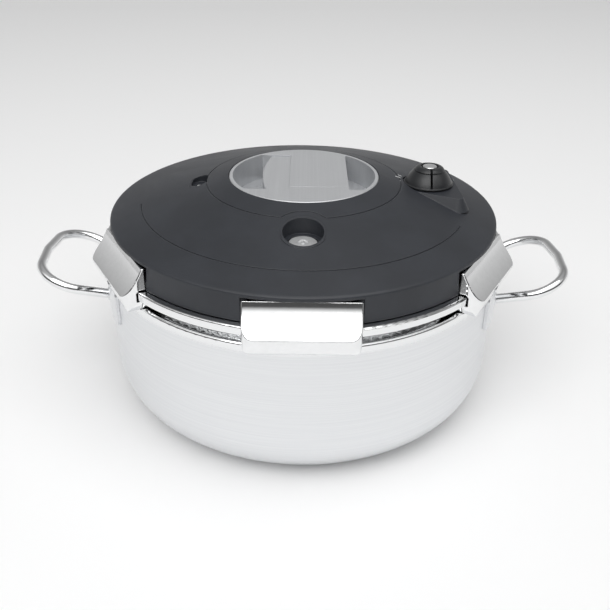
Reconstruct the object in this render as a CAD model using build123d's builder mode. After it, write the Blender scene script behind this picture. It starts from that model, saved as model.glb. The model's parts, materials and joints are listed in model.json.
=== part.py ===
"""Stovetop pressure cooker with a squeeze-grip lid and six sliding jaws.

Millimetres, +Z up. The origin is the centre of the underside of the pot. The front of the cooker is
-Y, and its two loop handles point along -X and +X. Heights above the rim are written as rim + height.
"""

import os
from math import asin, atan2, cos, degrees, hypot, radians, sin, sqrt, tan

from build123d import *

os.makedirs("parts", exist_ok=True)

# ---------------------------------------------------------------- driving dimensions
# Pot
body_radius = 122.0
pot_height = 106.0
pot_wall = 1.0
corner_radius = 32.0
base_depth = 6.8
base_skin = 1.0
base_seam_angle = 65.0
flange_overhang = 2.0
flange_height = 5.6
mouth_setback = 9.0
neck_drop = 8.5
shoulder_drop = 13.0

# Loop handles
rod_diameter = 6.0
handle_reach = 44.0
handle_half_width = 44.0
handle_root_half_width = 27.0
handle_bow = 4.0
handle_corner = 20.0
handle_drop = 34.0
handle_rise = 16.0
plate_thickness = 2.0
plate_height = 25.0
plate_drop = 15.0
plate_half_width = 58.0

# Lid cover
lip_setback = 3.7
lip_height = 15.8
cover_slope = 16.0
cover_wall = 2.2
skirt_flare = 1.2
skirt_gap = 0.5
window_clearance = 0.8
groove_width = 0.7
groove_depth = 0.6
inner_seam_offset = 13.8
outer_seam_inset = 19.0
boss_radius = 4.5
boss_setback = 16.0
screw_radius = 1.6
screw_head_radius = 3.0
screw_head_height = 1.8
screw_length = 8.0

# Steel lid pan and gasket
gasket_height = 2.15
gasket_gap = 0.25
gasket_width = 3.9
pan_thickness = 1.6
pan_clearance = 0.4

# Jaws and their arms
jaw_count = 6
jaw_travel = 7.0
jaw_half_width = 30.4
jaw_reach = 6.6
jaw_waist_drop = 2.9
jaw_top = 12.9
jaw_bottom = 13.2
jaw_corner = 6.0
jaw_edge_radius = 0.7
jaw_hollow = 0.9
arm_thickness = 1.5
arm_half_width = 16.0
arm_gap = 0.3
arm_window_half_width = 9.5
pin_radius = 2.0
pin_margin = 4.0
arm_end_margin = 5.0
rivet_radius = 1.5
rivet_head_height = 0.9
guide_length = 8.0
guide_setback = 16.0
guide_flange_width = 9.0
guide_sheet = 1.4
fit_gap = 0.15
hole_gap = 0.1
press_gap = 0.02

# Synchronising ring and trigger
ring_thickness = 2.0
ring_gap = 0.3
hub_wall = 3.0
hub_flange_width = 4.0
hub_flange_height = 1.2
hub_clearance = 12.0
drive_setback = 2.9
trigger_travel = 8.0

# Silver grip insert
insert_radius = 45.7
insert_depth = 18.0
insert_wall = 1.6
insert_seat = 1.2
bezel_width = 1.5
bezel_gap = 0.4
pocket_inset = 2.2
pocket_depth = 16.0
pocket_front_margin = 19.7
pocket_back_margin = 11.7
bar_margin = 19.2
bar_seam = -8.6
trigger_lap = 4.6
trigger_corner_margin = 5.37
trigger_bulge = 3.8
trigger_gap = 0.6
trigger_end_gap = 0.4
trigger_skirt = 3.0
post_radius = 3.2
post_clearance = 0.5
bar_sheet = 0.8
trigger_step = 1.0

# Safety valve in the front well
well_radius = 11.3
well_depth = 5.7
well_wall = 1.5
well_floor_thickness = 1.6
well_swing = 6.5
well_clearance = 3.6
safety_radius = 7.9
safety_stem_radius = 6.0
safety_rod_radius = 3.1
safety_flange_radius = 10.0
safety_travel = 2.0

# Valve fittings
valve_flange = 2.4
seal_thickness = 0.8
seal_gap = 0.05
stem_gap = 0.08
spring_closed_length = 7.0
spring_rest_gap = 0.4
spring_foot_height = 1.5
spring_wire = 0.8
valve_spring_wire = 0.7

# Steam knob and its valve
knob_base_radius = 15.1
knob_skirt_height = 1.0
knob_edge = 0.4
knob_waist_radius = 9.4
knob_waist_height = 8.5
knob_top_radius = 6.3
knob_height = 11.0
knob_groove = 0.5
knob_bulge = 0.45
knob_ring_radius = 5.4
knob_ring_depth = 0.9
pointer_width = 1.3
knob_setback = 40.9
knob_azimuth = 93.0
knob_tube_radius = 5.0
knob_nut_radius = 8.0
knob_seal_radius = 7.4
knob_nut_height = 3.6
button_radius = 4.3
button_height = 2.6
button_stem_radius = 3.0
button_travel = 2.0
plinth_lift = 2.2

# Lock indicator
indicator_clearance = 5.0
indicator_depth = 4.0
indicator_slot_width = 9.8
indicator_slot_length = 17.0
indicator_radius = 2.4
indicator_travel = 3.0
bush_wall = 1.6
bush_depth = 4.4
bush_flange_height = 4.0

# ---------------------------------------------------------------- worked-out values
rim = pot_height
mouth_radius = body_radius - mouth_setback
flange_radius = body_radius + flange_overhang
lip_radius = body_radius - lip_setback
skirt_radius = lip_radius + skirt_flare
skirt_inner = skirt_radius - cover_wall
slope = tan(radians(cover_slope))
insert_top = rim + lip_height + (lip_radius - insert_radius) * slope
pan_bottom = rim + gasket_gap + gasket_height
pan_top = pan_bottom + pan_thickness
pan_radius = skirt_inner - pan_clearance
arm_bottom = pan_top + arm_gap
arm_top = arm_bottom + arm_thickness
ring_bottom = arm_top + ring_gap
ring_top = ring_bottom + ring_thickness
insert_floor = insert_top - insert_depth

# The grip is laid out from the insert's edge inwards
pocket_radius = insert_radius - pocket_inset
pocket_front = insert_radius - pocket_front_margin
pocket_back = insert_radius - pocket_back_margin
bar_right = insert_radius - bar_margin
trigger_left = -sqrt((insert_radius - trigger_corner_margin) ** 2 - pocket_back**2)
trigger_right = bar_seam + trigger_lap
channel_left = trigger_left - trigger_bulge - trigger_gap
channel_right = trigger_right + trigger_travel + trigger_end_gap

# The hub clears the insert's posts, the ring clears the hub, and the valves clear the ring
insert_post_reach = post_radius - channel_left
hub_bore = insert_post_reach + post_radius + post_clearance
hub_radius = hub_bore + hub_wall
drive_radius = hub_bore - drive_setback
pin_reach = hub_radius + hub_clearance
ring_radius = pin_reach + jaw_travel + pin_margin
arm_inner_end = pin_reach - arm_end_margin
ring_turn = 2 * degrees(atan2(trigger_travel / 2, drive_radius))
well_reach = ring_radius + safety_radius + well_clearance
indicator_reach = ring_radius + indicator_clearance
knob_reach = lip_radius - knob_setback

jaw_inner = skirt_inner - 1.7
jaw_outer = body_radius + jaw_reach
guide_inner = jaw_inner - guide_setback
guide_middle = guide_inner + guide_length / 2
boss_reach = lip_radius - boss_setback


def cover_height(radius):
    """Height of the cover's outer cone at a radius."""
    return rim + lip_height + (lip_radius - radius) * slope


def polar_angle(azimuth):
    """Angle about Z from +X of a direction given from the front, turning towards +X."""
    return azimuth - 90.0


def radial_plane(azimuth):
    """Upright plane through the axis, its x pointing outward at the azimuth and its y up."""
    turn = radians(polar_angle(azimuth))
    return Plane(origin=(0, 0, 0), x_dir=(cos(turn), sin(turn), 0), z_dir=(sin(turn), -cos(turn), 0))


def level_plane(azimuth, height):
    """Level plane at a height, its x pointing outward at the azimuth."""
    turn = radians(polar_angle(azimuth))
    return Plane(origin=(0, 0, height), x_dir=(cos(turn), sin(turn), 0), z_dir=(0, 0, 1))


def spot_plane(reach, azimuth, height):
    """Level plane centred on the point at a reach and an azimuth."""
    turn = radians(polar_angle(azimuth))
    return Plane(origin=(reach * cos(turn), reach * sin(turn), height), z_dir=(0, 0, 1))


def save(block, label):
    """Label a finished piece and write its STEP file."""
    block.part.label = label
    export_step(block.part, f"parts/{label}.step")


# ---------------------------------------------------------------- pot
seam_turn = radians(base_seam_angle)
corner_x = body_radius - corner_radius
seam_x = corner_x + corner_radius * cos(seam_turn)
seam_z = corner_radius * (1 - sin(seam_turn))
skin_radius = corner_radius - base_skin
skin_seam_x = corner_x + skin_radius * cos(seam_turn)
skin_seam_z = corner_radius - skin_radius * sin(seam_turn)
core_edge_x = skin_seam_x - (base_depth - skin_seam_z) * 1.6
inner_corner = corner_radius - base_depth
mid_turn = seam_turn / 2
inner_radius = body_radius - pot_wall
floor_top = base_depth + pot_wall
neck_radius = mouth_radius + pot_wall

with BuildPart() as pot_body:
    with BuildSketch(Plane.XZ):
        with BuildLine():
            Line((0, base_depth), (core_edge_x, base_depth))
            Line((core_edge_x, base_depth), (skin_seam_x, skin_seam_z))
            Line((skin_seam_x, skin_seam_z), (seam_x, seam_z))
            ThreePointArc(
                (seam_x, seam_z),
                (corner_x + corner_radius * cos(mid_turn), corner_radius * (1 - sin(mid_turn))),
                (body_radius, corner_radius),
            )
            Line((body_radius, corner_radius), (body_radius, rim - shoulder_drop))
            Bezier(
                (body_radius, rim - shoulder_drop),
                (body_radius, rim - neck_drop),
                (neck_radius, rim - shoulder_drop),
                (neck_radius, rim - neck_drop),
            )
            Line((neck_radius, rim - neck_drop), (neck_radius, rim - flange_height))
            Line((neck_radius, rim - flange_height), (flange_radius - 0.8, rim - flange_height))
            Line((flange_radius - 0.8, rim - flange_height), (flange_radius, rim - flange_height + 0.8))
            Line((flange_radius, rim - flange_height + 0.8), (flange_radius, rim - 1.2))
            RadiusArc((flange_radius, rim - 1.2), (flange_radius - 1.2, rim), -1.2)
            Line((flange_radius - 1.2, rim), (mouth_radius + 0.6, rim))
            RadiusArc((mouth_radius + 0.6, rim), (mouth_radius, rim - 0.6), -0.6)
            Line((mouth_radius, rim - 0.6), (mouth_radius, rim - neck_drop))
            Bezier(
                (mouth_radius, rim - neck_drop),
                (mouth_radius, rim - shoulder_drop - pot_wall),
                (inner_radius, rim - neck_drop - pot_wall),
                (inner_radius, rim - shoulder_drop - pot_wall),
            )
            Line((inner_radius, rim - shoulder_drop - pot_wall), (inner_radius, floor_top + inner_corner))
            RadiusArc(
                (inner_radius, floor_top + inner_corner), (inner_radius - inner_corner, floor_top), inner_corner
            )
            Line((inner_radius - inner_corner, floor_top), (0, floor_top))
            Line((0, floor_top), (0, base_depth))
        make_face()
    revolve(axis=Axis.Z)
save(pot_body, "pot_body")

with BuildPart() as base_core:
    with BuildSketch(Plane.XZ):
        with BuildLine():
            Line((0, base_skin), (corner_x, base_skin))
            RadiusArc((corner_x, base_skin), (skin_seam_x, skin_seam_z), -skin_radius)
            Line((skin_seam_x, skin_seam_z), (core_edge_x, base_depth))
            Line((core_edge_x, base_depth), (0, base_depth))
            Line((0, base_depth), (0, base_skin))
        make_face()
    revolve(axis=Axis.Z)
save(base_core, "base_core")

with BuildPart() as base_cap:
    with BuildSketch(Plane.XZ):
        with BuildLine():
            Line((0, 0), (corner_x, 0))
            RadiusArc((corner_x, 0), (seam_x, seam_z), -corner_radius)
            Line((seam_x, seam_z), (skin_seam_x, skin_seam_z))
            RadiusArc((skin_seam_x, skin_seam_z), (corner_x, base_skin), skin_radius)
            Line((corner_x, base_skin), (0, base_skin))
            Line((0, base_skin), (0, 0))
        make_face()
    revolve(axis=Axis.Z)
save(base_cap, "base_cap")

# ---------------------------------------------------------------- loop handles
plate_outer = body_radius + plate_thickness
plate_half_angle = degrees(asin(plate_half_width / body_radius))
loop_tilt = atan2(handle_rise, handle_reach - rod_diameter / 2)
loop_outer = (handle_reach + plate_thickness - rod_diameter / 2) / cos(loop_tilt)


def build_handle(label, side):
    """A round rod bent into a D that rises outward, its ends welded to the plate beside the pot."""
    loop_plane = Plane(
        origin=(side * body_radius, 0, rim - handle_drop),
        x_dir=(side * cos(loop_tilt), 0, sin(loop_tilt)),
        z_dir=(-side * sin(loop_tilt), 0, cos(loop_tilt)),
    )
    root_inside = 2 * rod_diameter
    spread = (handle_half_width - handle_root_half_width) / loop_outer
    start_half_width = handle_root_half_width - root_inside * spread
    with BuildPart() as handle:
        with BuildLine(loop_plane) as path:
            FilletPolyline(
                (-root_inside, -start_half_width), (loop_outer - handle_bow, -handle_half_width),
                (loop_outer, 0), (loop_outer - handle_bow, handle_half_width), (-root_inside, start_half_width),
                radius=handle_corner,
            )
        with BuildSketch(Plane(origin=path.line @ 0, z_dir=path.line % 0)):
            Circle(rod_diameter / 2)
        sweep()
        with BuildSketch(Plane.XY):
            Circle(plate_outer)
        extrude(amount=rim, mode=Mode.SUBTRACT)
    save(handle, label)


def build_handle_plate(label, side):
    """A curved steel plate spot-welded to the pot wall, which carries one loop."""
    half = radians(plate_half_angle)
    far = 2 * plate_outer
    with BuildPart() as plate:
        with BuildSketch(Plane.XY.offset(rim - plate_drop - plate_height)):
            Circle(plate_outer)
            Circle(body_radius, mode=Mode.SUBTRACT)
            with BuildLine():
                Polyline((0, 0), (side * far * cos(half), far * sin(half)),
                         (side * far * cos(half), -far * sin(half)), (0, 0))
            make_face(mode=Mode.INTERSECT)
        extrude(amount=plate_height)
        corners = plate.edges().filter_by(lambda edge: edge.length < plate_thickness * 1.05)
        corners = corners.filter_by(lambda edge: abs(edge.center().Y) > body_radius * sin(half) * 0.95)
        fillet(corners, radius=5.0)
    save(plate, label)


for handle_name, handle_side in (("left", -1), ("right", 1)):
    build_handle(f"{handle_name}_handle_loop", handle_side)
    build_handle_plate(f"{handle_name}_handle_plate", handle_side)

# ---------------------------------------------------------------- lid cover
jaw_azimuths = [number * 360.0 / jaw_count for number in range(jaw_count)]
between_azimuths = [azimuth + 180.0 / jaw_count for azimuth in jaw_azimuths]
opening_radius = insert_radius + bezel_gap
opening_wall_radius = opening_radius + 1.8
seat_radius = insert_radius - insert_seat
seat_drop = bezel_width + 0.1
under = cover_wall / cos(radians(cover_slope))
skirt_bottom = rim + skirt_gap
plinth_top = cover_height(knob_reach) + plinth_lift
knob_turn = radians(polar_angle(knob_azimuth))
knob_spot = (knob_reach * cos(knob_turn), knob_reach * sin(knob_turn))
well_floor = cover_height(well_reach) - well_depth
swing_radius = well_radius + well_swing
indicator_floor = cover_height(indicator_reach) - indicator_depth
inner_seam = insert_radius + inner_seam_offset
seam_reach = lip_radius - outer_seam_inset
pad_near = knob_reach - knob_base_radius - 3.0
pad_far = knob_reach + knob_base_radius + 2.0

# The seam lines: a ring round the grip that swings round the front well, and one near the lip.
with BuildPart() as seam_cutter:
    with BuildSketch(Plane.XY.offset(rim)):
        Circle(inner_seam + groove_width / 2)
        Circle(inner_seam - groove_width / 2, mode=Mode.SUBTRACT)
        with Locations((0, -well_reach)):
            Circle(swing_radius, mode=Mode.SUBTRACT)
        with BuildSketch(mode=Mode.PRIVATE) as round_well:
            with Locations((0, -well_reach)):
                Circle(swing_radius)
                Circle(swing_radius - groove_width, mode=Mode.SUBTRACT)
            Circle(inner_seam, mode=Mode.INTERSECT)
        add(round_well.sketch)
        with BuildSketch(mode=Mode.PRIVATE) as outer_seam:
            Circle(seam_reach + groove_width / 2)
            Circle(seam_reach - groove_width / 2, mode=Mode.SUBTRACT)
            with BuildLine():
                far = 2 * seam_reach
                start = radians(polar_angle(-82))
                middle = radians(polar_angle(0))
                stop = radians(polar_angle(66))
                Polyline((0, 0), (far * cos(start), far * sin(start)), (far * cos(middle), far * sin(middle)),
                         (far * cos(stop), far * sin(stop)), (0, 0))
            make_face(mode=Mode.INTERSECT)
        add(outer_seam.sketch)
    extrude(amount=insert_top - rim)
    with BuildSketch(Plane.XZ):
        with BuildLine():
            Polyline((insert_radius, cover_height(insert_radius) + 1), (lip_radius, cover_height(lip_radius) + 1),
                     (lip_radius, cover_height(lip_radius) - groove_depth),
                     (insert_radius, cover_height(insert_radius) - groove_depth),
                     (insert_radius, cover_height(insert_radius) + 1))
        make_face()
    revolve(axis=Axis.Z, mode=Mode.INTERSECT)

# The pad under the steam knob: level on top, so that it stands out of the cone towards the lip.
with BuildPart() as knob_plinth:
    with BuildSketch(level_plane(knob_azimuth, plinth_top)):
        with BuildLine():
            Polyline((pad_near, -9), (pad_far - 1, -27), (pad_far, -22), (pad_far, 22), (pad_far - 1, 27),
                     (pad_near, 9), close=True)
        make_face()
        fillet(vertices(), radius=3.0)
    extrude(amount=-(plinth_top - cover_height(pad_far) + 0.6), taper=-28)

with BuildPart() as lid_cover:
    with BuildSketch(Plane.XZ):
        with BuildLine():
            Line((opening_radius, cover_height(opening_radius)), (lip_radius - 1.6, cover_height(lip_radius - 1.6)))
            Spline(
                (lip_radius - 1.6, cover_height(lip_radius - 1.6)), (lip_radius, cover_height(lip_radius) - 1.0),
                tangents=((1, -slope), (skirt_flare * 0.1, -1)),
            )
            Line((lip_radius, cover_height(lip_radius) - 1.0), (skirt_radius, skirt_bottom))
            Line((skirt_radius, skirt_bottom), (skirt_inner, skirt_bottom))
            Line((skirt_inner, skirt_bottom), (lip_radius - cover_wall, cover_height(lip_radius - cover_wall) - under))
            Line((lip_radius - cover_wall, cover_height(lip_radius - cover_wall) - under),
                 (opening_wall_radius, cover_height(opening_wall_radius) - under))
            Line((opening_wall_radius, cover_height(opening_wall_radius) - under),
                 (opening_wall_radius, insert_top - seat_drop - cover_wall))
            Line((opening_wall_radius, insert_top - seat_drop - cover_wall),
                 (seat_radius, insert_top - seat_drop - cover_wall))
            Line((seat_radius, insert_top - seat_drop - cover_wall), (seat_radius, insert_top - seat_drop))
            Line((seat_radius, insert_top - seat_drop), (opening_radius, insert_top - seat_drop))
            Line((opening_radius, insert_top - seat_drop), (opening_radius, cover_height(opening_radius)))
        make_face()
    revolve(axis=Axis.Z)
    add(knob_plinth.part)
    # Hollow the pad from below and take away whatever of it hangs inside the lid.
    with BuildSketch(Plane.XZ):
        with BuildLine():
            Polyline((opening_wall_radius, cover_height(opening_wall_radius) - under),
                     (lip_radius - cover_wall, cover_height(lip_radius - cover_wall) - under),
                     (lip_radius - cover_wall, skirt_bottom), (opening_wall_radius, skirt_bottom), close=True)
        make_face()
    revolve(axis=Axis.Z, mode=Mode.SUBTRACT)
    # Well wall round the front valve
    with BuildSketch(spot_plane(well_reach, 0, well_floor - well_floor_thickness)):
        Circle(well_radius + well_wall)
    extrude(amount=well_depth + well_floor_thickness - under / 2)
    with BuildSketch(spot_plane(well_reach, 0, well_floor)):
        Circle(well_radius)
    extrude(amount=well_depth * 3, mode=Mode.SUBTRACT)
    with BuildSketch(spot_plane(well_reach, 0, well_floor - 3)):
        Circle(safety_radius + 0.5)
    extrude(amount=6, mode=Mode.SUBTRACT)
    # Raised lip round the mouth of the well
    with BuildSketch(spot_plane(well_reach, 0, cover_height(well_reach) - 1.5)):
        Circle(well_radius + 0.9)
        Circle(well_radius, mode=Mode.SUBTRACT)
    extrude(amount=well_radius * slope + 2.2)
    with BuildSketch(Plane(origin=(0, -well_reach, cover_height(well_reach) + 0.5),
                           x_dir=(1, 0, 0), z_dir=(0, -sin(radians(cover_slope)), cos(radians(cover_slope))))):
        Circle(2.2 * well_radius)
    extrude(amount=8, mode=Mode.SUBTRACT)
    # Oval recess of the lock indicator
    with BuildSketch(spot_plane(indicator_reach, -90, indicator_floor - 1.4)):
        SlotOverall(indicator_slot_length + 3.2, indicator_slot_width + 3.2, rotation=90)
    extrude(amount=4)
    with BuildSketch(spot_plane(indicator_reach, -90, indicator_floor)):
        SlotOverall(indicator_slot_length, indicator_slot_width, rotation=90)
    extrude(amount=12, mode=Mode.SUBTRACT)
    with BuildSketch(spot_plane(indicator_reach, -90, indicator_floor - 3)):
        Circle(indicator_radius + 0.6)
    extrude(amount=6, mode=Mode.SUBTRACT)
    # Seat and hole for the steam knob
    with BuildSketch(spot_plane(knob_reach, knob_azimuth, plinth_top)):
        Circle(knob_base_radius + 1.0)
    extrude(amount=10, mode=Mode.SUBTRACT)
    with BuildSketch(spot_plane(knob_reach, knob_azimuth, plinth_top - 20)):
        Circle(knob_tube_radius + 0.5)
    extrude(amount=20, mode=Mode.SUBTRACT)
    # Windows in the skirt, one for each jaw
    for azimuth in jaw_azimuths:
        with BuildSketch(level_plane(azimuth, skirt_bottom - 1)):
            with Locations((jaw_outer, 0)):
                Rectangle(2 * (jaw_outer - jaw_inner + 2.5), 2 * (jaw_half_width + window_clearance))
        extrude(amount=jaw_top - skirt_gap + 1 + window_clearance, mode=Mode.SUBTRACT)
    # Screw bosses that stand on the pan
    for azimuth in between_azimuths:
        with BuildSketch(spot_plane(boss_reach, azimuth, pan_top)):
            Circle(boss_radius)
        extrude(amount=cover_height(boss_reach + boss_radius) - under / 2 - pan_top)
        with BuildSketch(spot_plane(boss_reach, azimuth, pan_top)):
            Circle(screw_radius)
        extrude(amount=screw_length + 1.0, mode=Mode.SUBTRACT)
    add(seam_cutter.part, mode=Mode.SUBTRACT)
save(lid_cover, "lid_cover")

# ---------------------------------------------------------------- lid pan and gasket
insert_post_azimuths = [90.0, 270.0]
guide_rivet_offset = arm_half_width + guide_flange_width / 2
guide_spots = [(guide_middle, -guide_rivet_offset), (guide_middle, guide_rivet_offset)]
with BuildPart() as lid_pan:
    with BuildSketch(Plane.XY.offset(pan_bottom)):
        Circle(pan_radius)
        with Locations((0, -well_reach)):
            Circle(safety_stem_radius + hole_gap, mode=Mode.SUBTRACT)
        with Locations(knob_spot):
            Circle(knob_tube_radius + hole_gap, mode=Mode.SUBTRACT)
        with Locations((-indicator_reach, 0)):
            Circle(indicator_radius + bush_wall + hole_gap, mode=Mode.SUBTRACT)
        with PolarLocations(boss_reach, jaw_count, start_angle=polar_angle(between_azimuths[0])):
            Circle(screw_radius + hole_gap, mode=Mode.SUBTRACT)
        with PolarLocations(insert_post_reach, 2, start_angle=polar_angle(insert_post_azimuths[0])):
            Circle(screw_radius + hole_gap, mode=Mode.SUBTRACT)
        for azimuth in jaw_azimuths:
            turn = radians(polar_angle(azimuth))
            for reach, aside in guide_spots:
                with Locations((reach * cos(turn) - aside * sin(turn), reach * sin(turn) + aside * cos(turn))):
                    Circle(rivet_radius + press_gap, mode=Mode.SUBTRACT)
    extrude(amount=pan_thickness)
save(lid_pan, "lid_pan")

gasket_inner = mouth_radius - gasket_width
seat = rim + gasket_gap
with BuildPart() as gasket:
    with BuildSketch(Plane.XZ):
        with BuildLine():
            Polyline(
                (gasket_inner, pan_bottom), (pan_radius, pan_bottom), (pan_radius, seat), (mouth_radius + 0.2, seat),
                (mouth_radius - 0.8, seat - 1.0), (mouth_radius - 0.7, seat - 5.0), (mouth_radius - 2.2, seat - 5.6),
                (mouth_radius - 3.0, seat - 0.2), (gasket_inner, seat - 0.2), close=True,
            )
        make_face()
    revolve(axis=Axis.Z)
save(gasket, "gasket")

# ---------------------------------------------------------------- jaws, arms, pins and rivets
rivet_offset = 8.0
rivet_height = arm_top + 3.2
rivet_bite = 2.0
tab_thickness = 1.5
tab_inner = jaw_inner - tab_thickness
arm_window_inner = well_reach - safety_radius - 0.6 - jaw_travel - 1.0
arm_window_outer = well_reach + safety_radius + 2.6
flange_clear = flange_radius + 0.7
hook_nose = skirt_inner + 1.0


def end_edges(jaw):
    """Edges that run round the two ends of a front jaw, without those on its inner face."""
    near_end = jaw_half_width - jaw_corner - 0.1
    ends = jaw.edges().filter_by(lambda edge: abs(edge.center().X) > near_end)
    return ends.filter_by(lambda edge: -edge.center().Y > jaw_inner + 0.1)


def save_turned(block, azimuth, label):
    """Turn a copy of a piece made at the front to an azimuth and write its STEP file."""
    turned = block.part.rotate(Axis.Z, azimuth)
    turned.label = label
    export_step(turned, f"parts/{label}.step")


# All six sets are alike, so each piece is made once at the front.
waist = rim - jaw_waist_drop
rivet_spots = [(-rivet_offset, 0), (rivet_offset, 0)]
jaw_back = Plane(origin=(0, -jaw_inner, rivet_height), x_dir=(1, 0, 0), z_dir=(0, -1, 0))
tab_back = Plane(origin=(0, -tab_inner, rivet_height), x_dir=(1, 0, 0), z_dir=(0, -1, 0))

# A C-shaped jaw: it hooks under the flange, rounds the rim and reaches in through the skirt.
with BuildPart() as jaw:
    with BuildSketch(radial_plane(0)):
        with BuildLine():
            Line((jaw_inner, rim + jaw_top), (jaw_inner + 1.2, rim + jaw_top))
            SagittaArc((jaw_inner + 1.2, rim + jaw_top), (jaw_outer - 0.5, waist + 0.8), -jaw_hollow)
            RadiusArc((jaw_outer - 0.5, waist + 0.8), (jaw_outer - 0.4, waist - 0.8), 0.95)
            SagittaArc((jaw_outer - 0.4, waist - 0.8), (jaw_outer - 3.0, rim - jaw_bottom + 1.0), 0.35)
            Line((jaw_outer - 3.0, rim - jaw_bottom + 1.0), (jaw_outer - 4.0, rim - jaw_bottom))
            Line((jaw_outer - 4.0, rim - jaw_bottom), (jaw_inner, rim - jaw_bottom))
            Line((jaw_inner, rim - jaw_bottom), (jaw_inner, rim + jaw_top))
        make_face()
    extrude(amount=jaw_half_width, both=True)
    # Rounded corners, seen from above and from outside
    with BuildSketch(level_plane(0, rim - jaw_bottom)):
        with Locations((jaw_outer - 25, 0)):
            RectangleRounded(50, 2 * jaw_half_width, jaw_corner)
    extrude(amount=jaw_bottom + jaw_top, mode=Mode.INTERSECT)
    with BuildSketch(Plane(origin=(0, 0, rim + jaw_top), x_dir=(1, 0, 0), z_dir=(0, -1, 0))):
        RectangleRounded(2 * jaw_half_width, 2 * (jaw_bottom + jaw_top), jaw_corner)
    extrude(amount=2 * jaw_outer, mode=Mode.INTERSECT)
    fillet(end_edges(jaw), radius=jaw_edge_radius)
    # The channel that passes round the rim, and the face that clears the pan
    with BuildSketch(Plane.XZ):
        with BuildLine():
            Polyline(
                (mouth_radius - 15, arm_bottom - fit_gap), (hook_nose - 0.2, arm_bottom - fit_gap),
                (hook_nose - 0.2, rim + 0.9), (flange_clear - 1.7, rim + 0.9), (flange_clear, rim - 0.8),
                (flange_clear, rim - flange_height - 0.5), (hook_nose, rim - flange_height - 0.5),
                (hook_nose, rim - flange_height - 3.2), (body_radius + 0.7, rim - shoulder_drop + 1.8),
                (body_radius + 0.7, rim - 2 * shoulder_drop), (mouth_radius - 15, rim - 2 * shoulder_drop),
                close=True,
            )
        make_face()
    revolve(axis=Axis.Z, mode=Mode.SUBTRACT)
    # Blind holes for the two rivets
    with BuildSketch(jaw_back):
        with Locations(*rivet_spots):
            Circle(rivet_radius + press_gap)
    extrude(amount=rivet_bite, mode=Mode.SUBTRACT)

# A flat arm with a window round the front valve, a pin hole and a tab bent up to the jaw
with BuildPart() as arm:
    with BuildSketch(level_plane(0, arm_bottom)):
        with Locations(((arm_inner_end + jaw_inner) / 2, 0)):
            Rectangle(jaw_inner - arm_inner_end, 2 * arm_half_width)
        fillet(vertices().sort_by(lambda vertex: hypot(vertex.X, vertex.Y))[:2], radius=6.0)
        with Locations(((arm_window_inner + arm_window_outer) / 2, 0)):
            RectangleRounded(arm_window_outer - arm_window_inner, 2 * arm_window_half_width, 4.0, mode=Mode.SUBTRACT)
        with Locations((pin_reach, 0)):
            Circle(pin_radius + press_gap, mode=Mode.SUBTRACT)
    extrude(amount=arm_thickness)
    with BuildSketch(level_plane(0, arm_bottom)):
        with Locations((jaw_inner - tab_thickness / 2, 0)):
            Rectangle(tab_thickness, 2 * arm_half_width - 4)
    extrude(amount=rivet_height + 3.0 - arm_bottom)
    with BuildSketch(tab_back):
        with Locations(*rivet_spots):
            Circle(rivet_radius + press_gap)
    extrude(amount=tab_thickness, mode=Mode.SUBTRACT)

# The pin that stands in the arm and runs in a spiral slot of the ring
with BuildPart() as follower_pin:
    with BuildSketch(spot_plane(pin_reach, 0, arm_bottom)):
        Circle(pin_radius)
    extrude(amount=ring_top + 0.3 - arm_bottom)

# Two round-headed rivets through the arm's tab into the jaw
with BuildPart() as jaw_rivets:
    with BuildSketch(tab_back):
        with Locations(*rivet_spots):
            Circle(rivet_radius)
    extrude(amount=tab_thickness + rivet_bite - 0.1)
    with BuildSketch(tab_back):
        with Locations(*rivet_spots):
            Circle(1.6 * rivet_radius)
    extrude(amount=-rivet_head_height)

for number, jaw_azimuth in enumerate(jaw_azimuths, start=1):
    save_turned(jaw, jaw_azimuth, f"jaw_{number}")
    save_turned(arm, jaw_azimuth, f"jaw_arm_{number}")
    save_turned(follower_pin, jaw_azimuth, f"follower_pin_{number}")
    save_turned(jaw_rivets, jaw_azimuth, f"jaw_rivets_{number}")

# ---------------------------------------------------------------- guides, ring, hub
guide_half_width = arm_half_width + guide_flange_width
channel_top = ring_bottom - 0.05
with BuildPart() as jaw_guides:
    for azimuth in jaw_azimuths:
        with BuildSketch(level_plane(azimuth, pan_top)):
            with Locations((guide_middle, 0)):
                Rectangle(guide_length, 2 * guide_half_width)
        extrude(amount=channel_top + guide_sheet - pan_top)
        with BuildSketch(level_plane(azimuth, pan_top)):
            with Locations((guide_middle, 0)):
                Rectangle(guide_length, 2 * (arm_half_width + fit_gap))
        extrude(amount=channel_top - pan_top, mode=Mode.SUBTRACT)
        with BuildSketch(level_plane(azimuth, pan_top)):
            with Locations(*guide_spots):
                Circle(rivet_radius + press_gap)
        extrude(amount=channel_top + guide_sheet - pan_top, mode=Mode.SUBTRACT)
save(jaw_guides, "jaw_guides")

guide_head_radius = rivet_radius + 1.1
with BuildPart() as guide_rivets:
    for azimuth in jaw_azimuths:
        for level, thickness, radius in (
            (pan_bottom - rivet_head_height, rivet_head_height, guide_head_radius),
            (pan_bottom, channel_top + guide_sheet - pan_bottom, rivet_radius),
            (channel_top + guide_sheet, rivet_head_height, guide_head_radius),
        ):
            with BuildSketch(level_plane(azimuth, level)):
                with Locations(*guide_spots):
                    Circle(radius)
            extrude(amount=thickness)
save(guide_rivets, "guide_rivets")


def spiral_point(azimuth, share):
    """Centre of a jaw's pin in the ring after a share of the ring's turn."""
    turn = radians(polar_angle(azimuth) - ring_turn * share)
    reach = pin_reach + jaw_travel * share
    return (reach * cos(turn), reach * sin(turn))


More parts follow.
